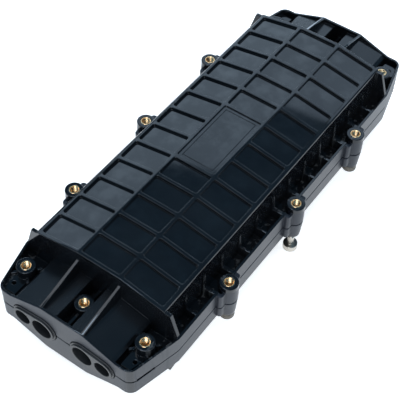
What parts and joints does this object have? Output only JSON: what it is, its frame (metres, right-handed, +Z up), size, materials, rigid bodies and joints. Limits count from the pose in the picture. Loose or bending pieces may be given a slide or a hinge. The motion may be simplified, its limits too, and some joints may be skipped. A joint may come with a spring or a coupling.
{
  "type": "fibre splice closure",
  "caption": "Horizontal fibre splice closure: ribbed black half shells bolted on a flat parting plane, brass inserts in the bosses, round cable ports at both ends, splice trays inside.",
  "frame": {"origin": "middle of the footprint, on the plane that the closure rests on", "axes": "+X along the length, towards the end that is farther from the picture's camera; +Y across the width, towards the left side seen from the near end; +Z up, from the lower shell to the upper shell"},
  "size_m": [0.3924, 0.1622, 0.09],
  "materials": {
    "shell_black": "moulded black polypropylene, polished decks and satin outer walls",
    "seal_rubber": "moulded black port seals, satin",
    "gasket_rubber": "black cord gasket, matt",
    "insert_brass": "turned brass, bright",
    "bolt_steel": "bright plated steel with a faint yellow cast",
    "bracket_aluminium": "bent sheet, brushed",
    "screw_steel": "plated steel",
    "tray_plastic": "moulded off-white plastic",
    "holder_plastic": "moulded blue plastic",
    "lid_clear": "clear moulded sheet",
    "strap_fabric": "black woven hook strap",
    "anchor_steel": "pressed plated steel",
    "clamp_brass": "turned and milled brass"
  },
  "bodies": {
    "base": {"lower_shell": "shell_black", "gasket_left": "gasket_rubber", "gasket_right": "gasket_rubber", "gasket_front": "gasket_rubber", "gasket_back": "gasket_rubber", "backed_out_bolt": "bolt_steel", "shell_bolts": "bolt_steel", "tray_bracket": "bracket_aluminium", "bracket_screws": "screw_steel", "tray_hinge_pins": "screw_steel", "tray_lid": "lid_clear", "tray_strap": "strap_fabric", "anchor_screws": "screw_steel", "clamp_screws": "screw_steel", "port_seal_back_left": "seal_rubber", "cable_anchor_back_left": "anchor_steel", "strength_clamp_back_left": "clamp_brass", "port_seal_back_right": "seal_rubber", "cable_anchor_back_right": "anchor_steel", "strength_clamp_back_right": "clamp_brass", "port_seal_front_left": "seal_rubber", "cable_anchor_front_left": "anchor_steel", "strength_clamp_front_left": "clamp_brass", "port_seal_front_right": "seal_rubber", "cable_anchor_front_right": "anchor_steel", "strength_clamp_front_right": "clamp_brass", "splice_tray_1": "tray_plastic", "splice_holder_1": "holder_plastic", "splice_tray_2": "tray_plastic", "splice_holder_2": "holder_plastic", "splice_tray_3": "tray_plastic", "splice_holder_3": "holder_plastic", "splice_tray_4": "tray_plastic", "splice_holder_4": "holder_plastic"},
    "cover": {"upper_shell": "shell_black", "threaded_inserts": "insert_brass"}
  },
  "joints": [
    {"name": "cover_lift", "type": "slide", "parent": "base", "child": "cover", "axis": [0, 0, 1], "range_m": [0, 0.12]}
  ]
}
